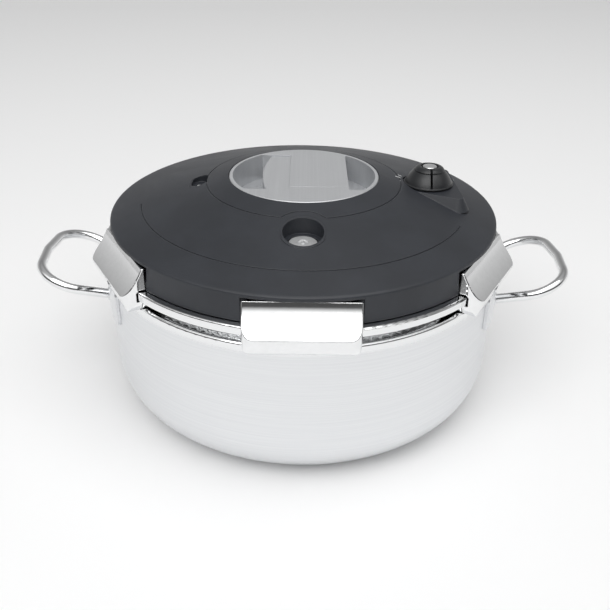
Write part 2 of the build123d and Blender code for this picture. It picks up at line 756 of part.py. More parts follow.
slot_width = 2 * (pin_radius + fit_gap)
drive_angle = degrees(atan2(-drive_radius, -trigger_travel / 2))
with BuildPart() as sync_ring:
    with BuildSketch(Plane.XY.offset(ring_bottom)):
        Circle(ring_radius)
        Circle(hub_radius + 0.1, mode=Mode.SUBTRACT)
        with BuildSketch(mode=Mode.PRIVATE) as drive_tab:
            with Locations(Plane.XY.rotated((0, 0, drive_angle))):
                with Locations(((drive_radius + hub_radius) / 2, 0)):
                    Rectangle(hub_radius - drive_radius + 12, 13)
        add(drive_tab.sketch)
        with Locations(Plane.XY.rotated((0, 0, drive_angle))):
            with Locations((drive_radius + 0.4, 0)):
                SlotOverall(slot_width + 3.0, slot_width, mode=Mode.SUBTRACT)
        for azimuth in jaw_azimuths:
            with BuildLine(mode=Mode.PRIVATE) as spiral:
                Spline(*[spiral_point(azimuth, share) for share in (-0.01, 0.25, 0.5, 0.75, 1.01)])
            trace(spiral.line, line_width=slot_width, mode=Mode.SUBTRACT)
            with Locations(spiral_point(azimuth, -0.01), spiral_point(azimuth, 1.01)):
                Circle(slot_width / 2, mode=Mode.SUBTRACT)
    extrude(amount=ring_thickness)
save(sync_ring, "sync_ring")

with BuildPart() as ring_hub:
    with BuildSketch(Plane.XY.offset(pan_top)):
        Circle(hub_radius)
        Circle(hub_bore, mode=Mode.SUBTRACT)
    extrude(amount=ring_top + ring_gap - pan_top)
    with BuildSketch(Plane.XY.offset(ring_top + ring_gap)):
        Circle(hub_radius + hub_flange_width)
        Circle(hub_bore, mode=Mode.SUBTRACT)
    extrude(amount=hub_flange_height)
    # Gap in the hub that the drive tab swings through
    with BuildSketch(level_plane(0, arm_bottom)):
        with Locations((hub_radius, 0)):
            Rectangle(20, 30)
    extrude(amount=10, mode=Mode.SUBTRACT)
save(ring_hub, "ring_hub")

# ---------------------------------------------------------------- grip insert and trigger
trigger_top = insert_top - trigger_step
trigger_bottom = insert_floor - trigger_skirt
floor_height = insert_top - pocket_depth
hollow_right = bar_right - insert_wall
pocket_middle = (pocket_back - pocket_front) / 2
pocket_span = pocket_back + pocket_front

with BuildPart() as grip_insert:
    with BuildSketch(Plane.XY.offset(insert_floor)):
        Circle(seat_radius - 0.3)
    extrude(amount=insert_depth)
    with BuildSketch(Plane.XY.offset(insert_top - bezel_width)):
        Circle(insert_radius)
    extrude(amount=bezel_width)
    rim_edges = grip_insert.edges().group_by(Axis.Z)[-1]
    chamfer(rim_edges, length=0.5)
    # Two finger pockets, one each side of the grip bar
    with BuildSketch(Plane.XY.offset(floor_height)):
        with Locations(((bar_right + insert_radius) / 2, pocket_middle)):
            Rectangle(insert_radius - bar_right, pocket_span)
        with Locations(((channel_left - insert_radius) / 2, pocket_middle)):
            Rectangle(insert_radius + channel_left, pocket_span)
        Circle(pocket_radius, mode=Mode.INTERSECT)
    extrude(amount=pocket_depth, mode=Mode.SUBTRACT)
    # Channel that the trigger slides in, open on top at the left of the bar's seam
    with BuildSketch(Plane.XY.offset(insert_floor)):
        with Locations(((channel_left + channel_right) / 2, pocket_middle)):
            Rectangle(channel_right - channel_left, pocket_span)
    extrude(amount=insert_depth - bar_sheet, mode=Mode.SUBTRACT)
    with BuildSketch(Plane.XY.offset(insert_floor)):
        with Locations(((channel_left + bar_seam) / 2, pocket_middle)):
            Rectangle(bar_seam - channel_left, pocket_span)
    extrude(amount=insert_depth, mode=Mode.SUBTRACT)
    # Hollow under the fixed half of the bar
    with BuildSketch(Plane.XY.offset(insert_floor)):
        with Locations(((trigger_right + hollow_right) / 2, pocket_middle)):
            Rectangle(hollow_right - trigger_right, pocket_span)
    extrude(amount=insert_depth - insert_wall, mode=Mode.SUBTRACT)
    # Seam between the bar and the apron in front of it
    with BuildSketch(Plane.XY.offset(insert_top - 0.4)):
        with Locations(((bar_seam + bar_right) / 2, -pocket_front + 4.2)):
            Rectangle(bar_right - bar_seam - 1.0, 0.35)
    extrude(amount=0.4, mode=Mode.SUBTRACT)
    # Posts down to the pan, tapped for the screws from below
    for azimuth in insert_post_azimuths:
        with BuildSketch(spot_plane(insert_post_reach, azimuth, pan_top)):
            Circle(post_radius)
        extrude(amount=insert_floor - pan_top + 0.8)
        with BuildSketch(spot_plane(insert_post_reach, azimuth, pan_top)):
            Circle(screw_radius)
        extrude(amount=screw_length, mode=Mode.SUBTRACT)
save(grip_insert, "grip_insert")

trigger_front = -pocket_front + fit_gap
trigger_back = pocket_back - fit_gap
drive_x = -trigger_travel / 2
with BuildPart() as trigger:
    with BuildSketch(Plane.XY.offset(trigger_bottom)):
        with BuildLine():
            Line((trigger_right, trigger_front), (trigger_right, trigger_back))
            Line((trigger_right, trigger_back), (trigger_left, trigger_back))
            ThreePointArc(
                (trigger_left, trigger_back),
                (trigger_left - trigger_bulge, (trigger_front + trigger_back) / 2),
                (trigger_left, trigger_front),
            )
            Line((trigger_left, trigger_front), (trigger_right, trigger_front))
        make_face()
    extrude(amount=trigger_top - trigger_bottom)
    top_edges = trigger.edges().group_by(Axis.Z)[-1].filter_by(lambda edge: edge.center().X < trigger_left)
    fillet(top_edges, radius=1.0)
    # Hollow from below, leaving a shell
    with BuildSketch(Plane.XY.offset(trigger_bottom)):
        with Locations(((trigger_left + trigger_right) / 2, (trigger_front + trigger_back + 16) / 2)):
            Rectangle(trigger_right - trigger_left - 4, trigger_back - trigger_front - 20)
    extrude(amount=trigger_top - trigger_bottom - 2.0, mode=Mode.SUBTRACT)
    # Arm under the apron, and the drive pin that turns the ring
    with BuildSketch(Plane.XY.offset(trigger_bottom)):
        with Locations((drive_x, -(drive_radius + pocket_front - 4) / 2)):
            Rectangle(9, drive_radius - pocket_front + 12)
    extrude(amount=insert_floor - 0.3 - trigger_bottom)
    with BuildSketch(Plane.XY.offset(ring_bottom - 0.1)):
        with Locations((drive_x, -drive_radius)):
            Circle(pin_radius)
    extrude(amount=trigger_bottom - ring_bottom + 0.1)
save(trigger, "trigger")


def coil_spring(label, radius, wire, turns, starts, direction, length):
    """Compression springs, one from each start point, all along one direction."""
    with BuildPart() as spring:
        for start in starts:
            with BuildLine() as coil:
                Helix(pitch=length / turns, height=length, radius=radius, center=start, direction=direction)
            with BuildSketch(Plane(origin=coil.line @ 0, z_dir=coil.line % 0)):
                Circle(wire / 2)
            sweep(path=coil.line)
    save(spring, label)


spring_height = insert_floor + insert_depth / 2
spring_length = hollow_right - trigger_right - 2 * spring_wire
coil_spring(
    "trigger_springs", 3.0, spring_wire, 8,
    [(trigger_right + spring_wire, offset, spring_height) for offset in (-14.0, 20.0)], (1, 0, 0), spring_length,
)

# ---------------------------------------------------------------- safety valve in the front well
safety_spring_space = spring_closed_length + safety_travel
body_bottom = pan_bottom - seal_thickness - valve_flange
safety_foot = body_bottom - safety_spring_space - spring_foot_height
with BuildPart() as safety_body:
    with BuildSketch(spot_plane(well_reach, 0, body_bottom)):
        Circle(safety_flange_radius)
    extrude(amount=valve_flange)
    with BuildSketch(spot_plane(well_reach, 0, body_bottom)):
        Circle(safety_stem_radius)
    extrude(amount=well_floor - 1.8 - body_bottom)
    with BuildSketch(spot_plane(well_reach, 0, body_bottom)):
        Circle(safety_rod_radius + stem_gap)
    extrude(amount=well_floor - body_bottom, mode=Mode.SUBTRACT)
save(safety_body, "safety_valve_body")

with BuildPart() as safety_seal:
    with BuildSketch(spot_plane(well_reach, 0, pan_bottom - seal_thickness)):
        Circle(safety_flange_radius - 0.4)
        Circle(safety_stem_radius + seal_gap, mode=Mode.SUBTRACT)
    extrude(amount=seal_thickness)
save(safety_seal, "safety_valve_seal")

with BuildPart() as safety_nut:
    with BuildSketch(spot_plane(well_reach, 0, pan_top)):
        RegularPolygon(safety_radius, 6)
        Circle(safety_stem_radius + seal_gap, mode=Mode.SUBTRACT)
    extrude(amount=4.5)
save(safety_nut, "safety_valve_nut")

with BuildPart() as safety_plunger:
    with BuildSketch(spot_plane(well_reach, 0, well_floor - 1.5)):
        Circle(safety_radius)
    extrude(amount=1.5)
    chamfer(safety_plunger.edges().group_by(Axis.Z)[-1], length=0.4)
    with BuildSketch(spot_plane(well_reach, 0, well_floor - 0.7)):
        Circle(3.0)
        Circle(1.3, mode=Mode.SUBTRACT)
    extrude(amount=1, mode=Mode.SUBTRACT)
    with BuildSketch(spot_plane(well_reach, 0, safety_foot)):
        Circle(safety_rod_radius)
    extrude(amount=well_floor - 1.5 - safety_foot)
    with BuildSketch(spot_plane(well_reach, 0, safety_foot)):
        Circle(safety_rod_radius + 1.7)
    extrude(amount=spring_foot_height)
save(safety_plunger, "safety_plunger")

coil_spring(
    "safety_spring", safety_rod_radius + 0.85, valve_spring_wire, 5,
    [(0, -well_reach, body_bottom - safety_spring_space + spring_rest_gap)], (0, 0, 1),
    safety_spring_space - 2 * spring_rest_gap,
)

# ---------------------------------------------------------------- steam knob and its valve
knob_bottom = plinth_top + 0.4
knob_top = knob_bottom + knob_height
tube_top = knob_bottom + knob_height * 0.55
tube_bottom = pan_bottom - 5.0
button_bottom = knob_top - 2.4
button_spring_space = spring_closed_length + button_travel
button_foot = tube_bottom - button_spring_space - spring_foot_height
with BuildPart() as knob_valve_body:
    with BuildSketch(spot_plane(knob_reach, knob_azimuth, tube_bottom)):
        Circle(knob_tube_radius)
    extrude(amount=tube_top - tube_bottom)
    with BuildSketch(spot_plane(knob_reach, knob_azimuth, pan_top + seal_thickness)):
        RegularPolygon(knob_nut_radius, 6)
    extrude(amount=knob_nut_height)
    with BuildSketch(spot_plane(knob_reach, knob_azimuth, tube_bottom)):
        Circle(button_stem_radius + stem_gap)
    extrude(amount=tube_top - tube_bottom, mode=Mode.SUBTRACT)
save(knob_valve_body, "knob_valve_body")

with BuildPart() as knob_seal:
    with BuildSketch(spot_plane(knob_reach, knob_azimuth, pan_top)):
        Circle(knob_seal_radius)
        Circle(knob_tube_radius + seal_gap, mode=Mode.SUBTRACT)
    extrude(amount=seal_thickness)
save(knob_seal, "knob_valve_seal")

with BuildPart() as knob_nut:
    with BuildSketch(spot_plane(knob_reach, knob_azimuth, pan_bottom - knob_nut_height)):
        RegularPolygon(knob_nut_radius, 6)
        Circle(knob_tube_radius + seal_gap, mode=Mode.SUBTRACT)
    extrude(amount=knob_nut_height)
save(knob_nut, "knob_valve_nut")

base = spot_plane(knob_reach, knob_azimuth, knob_bottom)
knob_side = Plane(origin=base.origin, x_dir=(1, 0, 0), z_dir=(0, -1, 0))
knob_side = Plane(origin=base.origin, x_dir=(1, 0, 0), z_dir=(0, -1, 0))
shoulder_reach = knob_base_radius - 0.7
shoulder_height = knob_skirt_height + 0.3
groove_reach = knob_waist_radius - knob_groove
groove_top = knob_waist_height + knob_groove
crown_reach = knob_waist_radius - 0.2
pointer_reach = (knob_ring_radius + knob_base_radius) / 2
with BuildPart() as steam_knob:
    with BuildSketch(knob_side):
        with BuildLine():
            Line((0, 0), (knob_base_radius - knob_edge, 0))
            Line((knob_base_radius - knob_edge, 0), (knob_base_radius, knob_edge))
            Line((knob_base_radius, knob_edge), (knob_base_radius, knob_skirt_height))
            Line((knob_base_radius, knob_skirt_height), (shoulder_reach, shoulder_height))
            SagittaArc((shoulder_reach, shoulder_height), (knob_waist_radius, knob_waist_height), -knob_bulge)
            Line((knob_waist_radius, knob_waist_height), (groove_reach, knob_waist_height))
            Line((groove_reach, knob_waist_height), (groove_reach, groove_top))
            Line((groove_reach, groove_top), (crown_reach, groove_top))
            SagittaArc((crown_reach, groove_top), (knob_top_radius, knob_height), -knob_bulge)
            Line((knob_top_radius, knob_height), (0, knob_height))
            Line((0, knob_height), (0, 0))
        make_face()
    revolve(axis=Axis(base.origin, (0, 0, 1)))
    with BuildSketch(base):
        Circle(knob_tube_radius + stem_gap)
    extrude(amount=tube_top - knob_bottom + 0.4, mode=Mode.SUBTRACT)
    with BuildSketch(base):
        Circle(button_stem_radius + 0.3)
    extrude(amount=knob_height, mode=Mode.SUBTRACT)
    with BuildSketch(base.offset(knob_height - button_height)):
        Circle(button_radius + fit_gap)
    extrude(amount=button_height, mode=Mode.SUBTRACT)
    # Shadow ring round the button
    with BuildSketch(base.offset(knob_height - knob_ring_depth)):
        Circle(knob_ring_radius)
    extrude(amount=knob_ring_depth, mode=Mode.SUBTRACT)
    # Pointer groove down the front of the knob
    with BuildSketch(base.offset(shoulder_height)):
        with Locations((0, -pointer_reach)):
            Rectangle(pointer_width, knob_base_radius - knob_ring_radius - 0.6)
    extrude(amount=knob_height, mode=Mode.SUBTRACT)
save(steam_knob, "steam_knob")

with BuildPart() as steam_button:
    with BuildSketch(spot_plane(knob_reach, knob_azimuth, button_bottom)):
        Circle(button_radius)
    extrude(amount=button_height)
    fillet(steam_button.edges().group_by(Axis.Z)[-1], radius=0.6)
    with BuildSketch(spot_plane(knob_reach, knob_azimuth, button_foot)):
        Circle(button_stem_radius)
    extrude(amount=button_bottom - button_foot)
    with BuildSketch(spot_plane(knob_reach, knob_azimuth, button_foot)):
        Circle(button_stem_radius + 1.7)
    extrude(amount=spring_foot_height)
save(steam_button, "steam_button")

coil_spring(
    "button_spring", button_stem_radius + 0.85, valve_spring_wire, 5,
    [(knob_spot[0], knob_spot[1], tube_bottom - button_spring_space + spring_rest_gap)], (0, 0, 1),
    button_spring_space - 2 * spring_rest_gap,
)

# ---------------------------------------------------------------- lock indicator
bush_radius = indicator_radius + bush_wall
bush_bottom = pan_bottom - bush_depth
pin_foot = bush_bottom - indicator_travel - 1.6
with BuildPart() as indicator_bush:
    with BuildSketch(spot_plane(indicator_reach, -90, bush_bottom)):
        Circle(bush_radius)
    extrude(amount=pan_top - bush_bottom)
    with BuildSketch(spot_plane(indicator_reach, -90, pan_top)):
        RegularPolygon(bush_radius + 0.7, 6)
    extrude(amount=bush_flange_height)
    with BuildSketch(spot_plane(indicator_reach, -90, bush_bottom)):
        Circle(indicator_radius + stem_gap)
    extrude(amount=pan_top + bush_flange_height - bush_bottom, mode=Mode.SUBTRACT)
save(indicator_bush, "indicator_bush")

with BuildPart() as indicator_seal:
    with BuildSketch(spot_plane(indicator_reach, -90, pan_bottom - seal_thickness)):
        Circle(bush_radius + 2.0)
        Circle(bush_radius + seal_gap, mode=Mode.SUBTRACT)
    extrude(amount=seal_thickness)
save(indicator_seal, "indicator_seal")

with BuildPart() as indicator_nut:
    with BuildSketch(spot_plane(indicator_reach, -90, pan_bottom - seal_thickness - 2.8)):
        RegularPolygon(bush_radius + 2.4, 6)
        Circle(bush_radius + seal_gap, mode=Mode.SUBTRACT)
    extrude(amount=2.8)
save(indicator_nut, "indicator_nut")

with BuildPart() as indicator_pin:
    with BuildSketch(spot_plane(indicator_reach, -90, pin_foot)):
        Circle(indicator_radius)
    extrude(amount=indicator_floor + 0.6 - pin_foot)
    chamfer(indicator_pin.edges().group_by(Axis.Z)[-1], length=0.4)
    with BuildSketch(spot_plane(indicator_reach, -90, pin_foot)):
        Circle(indicator_radius + 1.2)
    extrude(amount=1.4)
save(indicator_pin, "indicator_pin")

# ---------------------------------------------------------------- screws
def build_screws(label, reach, azimuths, bite):
    """Screws put in from below the pan, one at each azimuth."""
    with BuildPart() as screws:
        for azimuth in azimuths:
            with BuildSketch(spot_plane(reach, azimuth, pan_bottom - screw_head_height)):
                Circle(screw_head_radius)
            extrude(amount=screw_head_height)
            with BuildSketch(spot_plane(reach, azimuth, pan_bottom)):
                Circle(screw_radius - press_gap)
            extrude(amount=pan_thickness + bite)
    save(screws, label)


build_screws("cover_screws", boss_reach, between_azimuths, screw_length)
build_screws("insert_screws", insert_post_reach, insert_post_azimuths, screw_length - 1.0)
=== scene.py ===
"""Stovetop pressure cooker: finishes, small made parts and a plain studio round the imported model."""

import json
import math

import bpy
from mathutils import Matrix, Vector


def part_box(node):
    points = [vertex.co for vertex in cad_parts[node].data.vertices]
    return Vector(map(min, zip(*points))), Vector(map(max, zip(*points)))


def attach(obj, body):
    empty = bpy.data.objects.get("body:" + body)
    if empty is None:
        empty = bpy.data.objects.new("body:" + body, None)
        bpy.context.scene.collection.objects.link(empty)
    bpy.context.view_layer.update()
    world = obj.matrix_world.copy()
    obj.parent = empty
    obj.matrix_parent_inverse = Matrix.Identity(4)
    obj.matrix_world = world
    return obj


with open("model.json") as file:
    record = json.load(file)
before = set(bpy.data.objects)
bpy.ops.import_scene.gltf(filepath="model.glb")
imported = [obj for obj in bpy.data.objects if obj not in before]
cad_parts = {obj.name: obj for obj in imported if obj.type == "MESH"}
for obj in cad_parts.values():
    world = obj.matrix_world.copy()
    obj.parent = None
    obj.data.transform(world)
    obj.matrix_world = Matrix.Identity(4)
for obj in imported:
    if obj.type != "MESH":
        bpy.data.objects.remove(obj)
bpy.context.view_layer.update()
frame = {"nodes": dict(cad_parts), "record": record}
nodes = frame["nodes"]

# How far each finish's pattern is stretched along X, Y and Z, and the depth that bump works to, in metres
round_lines = (9.0, 9.0, 1500.0)
grip_lines = (1700.0, 12.0, 60.0)
even_lines = (300.0, 300.0, 300.0)
bump_reach = 0.0002

# The pot's wall turns from satin to polish below this height
polish_height = 0.0925
polish_blend = 0.004

# Ticks round the knob: angle from the front in degrees, and length in millimetres
tick_places = ((-112, 2.6), (-98, 3.4), (-84, 2.0), (84, 2.0), (98, 3.4), (112, 2.6), (150, 3.0))
tick_width = 0.0007
tick_thickness = 0.00012
tick_clearance = 0.0022
tick_lift = 0.00004
drop_height = 0.3

# Welds at the ends of the handle rods
weld_across, weld_out, weld_height = 0.0267, 0.1211, 0.0716
weld_radius, weld_bead_radius = 0.0034, 0.0008

# Studio
floor_size = 8.0
smooth_angle = math.radians(35)
backdrop = (0.98, 0.98, 0.98, 1)
softbox_power = 9


# ---------------------------------------------------------------- node helpers
def make_node(tree, kind, **settings):
    """Add a shader node. Plain settings are attributes, and a dict called sockets sets input values."""
    made = tree.nodes.new(kind)
    sockets = settings.pop("sockets", {})
    for name, value in settings.items():
        setattr(made, name, value)
    for name, value in sockets.items():
        made.inputs[name].default_value = value
    return made


def make_group(name, inputs, outputs):
    """Start a shader node group with named sockets, and return it with its two end nodes."""
    group = bpy.data.node_groups.new(name, "ShaderNodeTree")
    for label, kind, value in inputs:
        socket = group.interface.new_socket(name=label, in_out="INPUT", socket_type=kind)
        if value is not None:
            socket.default_value = value
    for label, kind in outputs:
        group.interface.new_socket(name=label, in_out="OUTPUT", socket_type=kind)
    return group, group.nodes.new("NodeGroupInput"), group.nodes.new("NodeGroupOutput")


def place_group(tree, group, **sockets):
    """Put a group in a material, with its own values."""
    made = tree.nodes.new("ShaderNodeGroup")
    made.node_tree = group
    for name, value in sockets.items():
        made.inputs[name.replace("_", " ")].default_value = value
    return made


def spread(tree, value, low, high, to_low, to_high):
    """Map a value from one range to another, smoothly and clamped."""
    made = make_node(tree, "ShaderNodeMapRange", interpolation_type="SMOOTHSTEP",
                     sockets={"From Min": low, "From Max": high, "To Min": to_low, "To Max": to_high})
    tree.links.new(value, made.inputs["Value"])
    return made.outputs["Result"]


def arithmetic(tree, operation, first, second):
    """A Math node on two values, each a socket or a number."""
    made = make_node(tree, "ShaderNodeMath", operation=operation)
    for slot, value in enumerate((first, second)):
        if isinstance(value, (int, float)):
            made.inputs[slot].default_value = value
        else:
            tree.links.new(value, made.inputs[slot])
    return made.outputs[0]


def blend_colours(tree, share, first, second):
    """Mix two colours, each a socket or an RGBA tuple, by a share."""
    made = make_node(tree, "ShaderNodeMix", data_type="RGBA")
    for slot, value in (("Factor", share), ("A", first), ("B", second)):
        found = [s for s in made.inputs if s.name == slot and s.enabled]
        if isinstance(value, (int, float, tuple)):
            found[0].default_value = value
        else:
            tree.links.new(value, found[0])
    return [s for s in made.outputs if s.enabled][0]


# ---------------------------------------------------------------- effects shared by the finishes
def build_brush_lines():
    """Long fine lines left by a brush or a belt. The vector comes in already stretched along the lines."""
    group, start, end = make_group(
        "brush_lines", [("Vector", "NodeSocketVector", None), ("Streaks", "NodeSocketFloat", 0.4)],
        [("Lines", "NodeSocketFloat")])
    fine = make_node(group, "ShaderNodeTexNoise", sockets={"Scale": 1.0, "Detail": 3.0, "Roughness": 0.7})
    broad = make_node(group, "ShaderNodeTexNoise", sockets={"Scale": 0.22, "Detail": 2.0, "Roughness": 0.5})
    for noise in (fine, broad):
        group.links.new(start.outputs["Vector"], noise.inputs["Vector"])
    mixed = make_node(group, "ShaderNodeMix", data_type="FLOAT")
    group.links.new(start.outputs["Streaks"], mixed.inputs["Factor"])
    group.links.new(fine.outputs["Fac"], mixed.inputs["A"])
    group.links.new(broad.outputs["Fac"], mixed.inputs["B"])
    group.links.new(mixed.outputs["Result"], end.inputs["Lines"])
    return group


def build_handling_marks():
    """Faint cloudy marks of wiping and handling."""
    group, start, end = make_group(
        "handling_marks", [("Vector", "NodeSocketVector", None), ("Scale", "NodeSocketFloat", 20.0)],
        [("Marks", "NodeSocketFloat")])
    cloud = make_node(group, "ShaderNodeTexNoise",
                      sockets={"Detail": 5.0, "Roughness": 0.62, "Distortion": 0.5})
    group.links.new(start.outputs["Vector"], cloud.inputs["Vector"])
    group.links.new(start.outputs["Scale"], cloud.inputs["Scale"])
    group.links.new(spread(group, cloud.outputs["Fac"], 0.42, 0.68, 0.0, 1.0), end.inputs["Marks"])
    return group


def build_soft_edges():
    """Small rounds on edges: the softened normal, and a mask that is 1 on the edges."""
    group, start, end = make_group(
        "soft_edges", [("Radius", "NodeSocketFloat", 0.0003)],
        [("Normal", "NodeSocketVector"), ("Edge", "NodeSocketFloat")])
    rounded = make_node(group, "ShaderNodeBevel", samples=6)
    group.links.new(start.outputs["Radius"], rounded.inputs["Radius"])
    surface = make_node(group, "ShaderNodeNewGeometry")
    compare = make_node(group, "ShaderNodeVectorMath", operation="DOT_PRODUCT")
    group.links.new(rounded.outputs["Normal"], compare.inputs[0])
    group.links.new(surface.outputs["Normal"], compare.inputs[1])
    group.links.new(rounded.outputs["Normal"], end.inputs["Normal"])
    group.links.new(spread(group, compare.outputs["Value"], 0.99, 0.85, 0.0, 1.0), end.inputs["Edge"])
    return group


def build_moulded_grain():
    """The fine even grain that a spark-eroded mould leaves on plastic, with slight mottling."""
    group, start, end = make_group(
        "moulded_grain", [("Vector", "NodeSocketVector", None), ("Scale", "NodeSocketFloat", 2200.0)],
        [("Height", "NodeSocketFloat"), ("Mottle", "NodeSocketFloat")])
    grain = make_node(group, "ShaderNodeTexVoronoi", feature="SMOOTH_F1", sockets={"Smoothness": 0.6})
    group.links.new(start.outputs["Vector"], grain.inputs["Vector"])
    group.links.new(start.outputs["Scale"], grain.inputs["Scale"])
    mottle = make_node(group, "ShaderNodeTexNoise", sockets={"Scale": 35.0, "Detail": 6.0, "Roughness": 0.6})
    group.links.new(start.outputs["Vector"], mottle.inputs["Vector"])
    group.links.new(grain.outputs["Distance"], end.inputs["Height"])
    group.links.new(spread(group, mottle.outputs["Fac"], 0.35, 0.65, 0.0, 1.0), end.inputs["Mottle"])
    return group


brush_lines = build_brush_lines()
handling_marks = build_handling_marks()
soft_edges = build_soft_edges()
moulded_grain = build_moulded_grain()


# ---------------------------------------------------------------- finishes
def start_finish(name):
    """A material with its shader and object coordinates ready."""
    material = bpy.data.materials.new(name)
    material.use_nodes = True
    tree = material.node_tree
    shader = tree.nodes["Principled BSDF"]
    coordinates = tree.nodes.new("ShaderNodeTexCoord")
    return material, tree, shader, coordinates.outputs["Object"]


def stretched(tree, vector, scale):
    """Object coordinates stretched for a pattern that runs one way."""
    made = make_node(tree, "ShaderNodeMapping", sockets={"Scale": scale})
    tree.links.new(vector, made.inputs["Vector"])
    return made.outputs["Vector"]


def raise_surface(tree, shader, height, strength, distance, edges=None):
    """Feed a height through a bump node, over softened edges where they are given."""
    bump = make_node(tree, "ShaderNodeBump", sockets={"Strength": strength, "Distance": distance})
    tree.links.new(height, bump.inputs["Height"])
    if edges is not None:
        tree.links.new(edges.outputs["Normal"], bump.inputs["Normal"])
    tree.links.new(bump.outputs["Normal"], shader.inputs["Normal"])


def metal_finish(name, colour, dark, gloss, rough, line_scale, line_depth,
                 metallic=1.0, edge_radius=0.0003):
    """Bare metal: brush lines, cloudy handling marks and softened edges that catch the light."""
    material, tree, shader, place = start_finish(name)
    shader.inputs["Metallic"].default_value = metallic
    lines = place_group(tree, brush_lines, Streaks=0.35)
    tree.links.new(stretched(tree, place, line_scale), lines.inputs["Vector"])
    marks = place_group(tree, handling_marks, Scale=22.0)
    tree.links.new(place, marks.inputs["Vector"])
    edges = place_group(tree, soft_edges, Radius=edge_radius)
    tint = spread(tree, lines.outputs["Lines"], 0.3, 0.7, 0.0, 1.0)
    base = blend_colours(tree, tint, dark, colour)
    tree.links.new(base, shader.inputs["Base Color"])
    smooth = spread(tree, lines.outputs["Lines"], 0.25, 0.75, gloss, rough)
    wiped = arithmetic(tree, "MULTIPLY", marks.outputs["Marks"], 0.25 * rough)
    tree.links.new(arithmetic(tree, "ADD", smooth, wiped), shader.inputs["Roughness"])
    raise_surface(tree, shader, lines.outputs["Lines"], line_depth, bump_reach, edges)
    return material


def pot_finish(name, top_height, blend_height):
    """The pot's steel: satin lines round the wall, turning to a bright polish near the rim."""
    material, tree, shader, place = start_finish(name)
    shader.inputs["Metallic"].default_value = 1.0
    shader.inputs["Anisotropic"].default_value = 0.55
    parts = make_node(tree, "ShaderNodeSeparateXYZ")
    tree.links.new(place, parts.inputs["Vector"])
    polished = spread(tree, parts.outputs["Z"], top_height - blend_height, top_height, 0.0, 1.0)
    lines = place_group(tree, brush_lines, Streaks=0.12)
    tree.links.new(stretched(tree, place, round_lines), lines.inputs["Vector"])
    marks = place_group(tree, handling_marks, Scale=16.0)
    tree.links.new(place, marks.inputs["Vector"])
    edges = place_group(tree, soft_edges, Radius=0.0004)
    tint = spread(tree, lines.outputs["Lines"], 0.3, 0.7, 0.0, 1.0)
    satin = blend_colours(tree, tint, (0.745, 0.755, 0.77, 1), (0.80, 0.81, 0.82, 1))
    tree.links.new(blend_colours(tree, polished, satin, (0.86, 0.865, 0.87, 1)), shader.inputs["Base Color"])
    dull = spread(tree, lines.outputs["Lines"], 0.25, 0.75, 0.29, 0.34)
    wiped = arithmetic(tree, "MULTIPLY", marks.outputs["Marks"], 0.05)
    satin_rough = arithmetic(tree, "ADD", dull, wiped)
    bright_rough = arithmetic(tree, "ADD", wiped, 0.07)
    chosen = make_node(tree, "ShaderNodeMix", data_type="FLOAT")
    tree.links.new(polished, chosen.inputs["Factor"])
    tree.links.new(satin_rough, chosen.inputs["A"])
    tree.links.new(bright_rough, chosen.inputs["B"])
    tree.links.new(chosen.outputs["Result"], shader.inputs["Roughness"])
    dulled = arithmetic(tree, "SUBTRACT", 1.0, polished)
    height = arithmetic(tree, "MULTIPLY", lines.outputs["Lines"], dulled)
    raise_surface(tree, shader, height, 0.05, bump_reach, edges)
    tangent = make_node(tree, "ShaderNodeTangent", direction_type="RADIAL", axis="Z")
    tree.links.new(tangent.outputs["Tangent"], shader.inputs["Tangent"])
    return material


def plastic_finish(name, colour, edge_wear_and_sheen, rough, grain_scale, grain_depth, edge_radius):
    """Moulded plastic: fine grain, slight mottling, and edges that handling has polished, their colour painted
    lighter as wear and a painted sheen.
    """
    material, tree, shader, place = start_finish(name)
    shader.inputs["IOR"].default_value = 1.5
    grain = place_group(tree, moulded_grain, Scale=grain_scale)
    tree.links.new(place, grain.inputs["Vector"])
    marks = place_group(tree, handling_marks, Scale=14.0)
    tree.links.new(place, marks.inputs["Vector"])
    edges = place_group(tree, soft_edges, Radius=edge_radius)
    deeper = tuple(0.82 * channel for channel in colour[:3]) + (1.0,)
    mottled = blend_colours(tree, grain.outputs["Mottle"], deeper, colour)
    # The edges' colour is painted lighter: partly wear, partly a painted sheen standing in for light on the
    # rounds.
    edge_wear_and_sheen_share = arithmetic(tree, "MULTIPLY", edges.outputs["Edge"], 0.7)
    tree.links.new(blend_colours(tree, edge_wear_and_sheen_share, mottled, edge_wear_and_sheen), shader.inputs["Base Color"])
    wiped = arithmetic(tree, "MULTIPLY", marks.outputs["Marks"], -0.07)
    polished = arithmetic(tree, "MULTIPLY", edges.outputs["Edge"], -0.12)
    tree.links.new(arithmetic(tree, "ADD", arithmetic(tree, "ADD", wiped, polished), rough),
                   shader.inputs["Roughness"])
    raise_surface(tree, shader, grain.outputs["Height"], grain_depth, bump_reach, edges)
    return material


def rubber_finish(name):
    """Grey silicone with a soft bloom."""
    material, tree, shader, place = start_finish(name)
    marks = place_group(tree, handling_marks, Scale=60.0)
    tree.links.new(place, marks.inputs["Vector"])
    tree.links.new(blend_colours(tree, marks.outputs["Marks"], (0.30, 0.31, 0.32, 1), (0.38, 0.39, 0.40, 1)),
                   shader.inputs["Base Color"])
    shader.inputs["Roughness"].default_value = 0.62
    raise_surface(tree, shader, marks.outputs["Marks"], 0.1, bump_reach)
    return material


def print_finish(name):
    """Pale pad-printed ink, slightly uneven."""
    material, tree, shader, place = start_finish(name)
    marks = place_group(tree, handling_marks, Scale=400.0)
    tree.links.new(place, marks.inputs["Vector"])
    tree.links.new(blend_colours(tree, marks.outputs["Marks"], (0.70, 0.71, 0.72, 1), (0.84, 0.84, 0.84, 1)),
                   shader.inputs["Base Color"])
    shader.inputs["Roughness"].default_value = 0.55
    return material


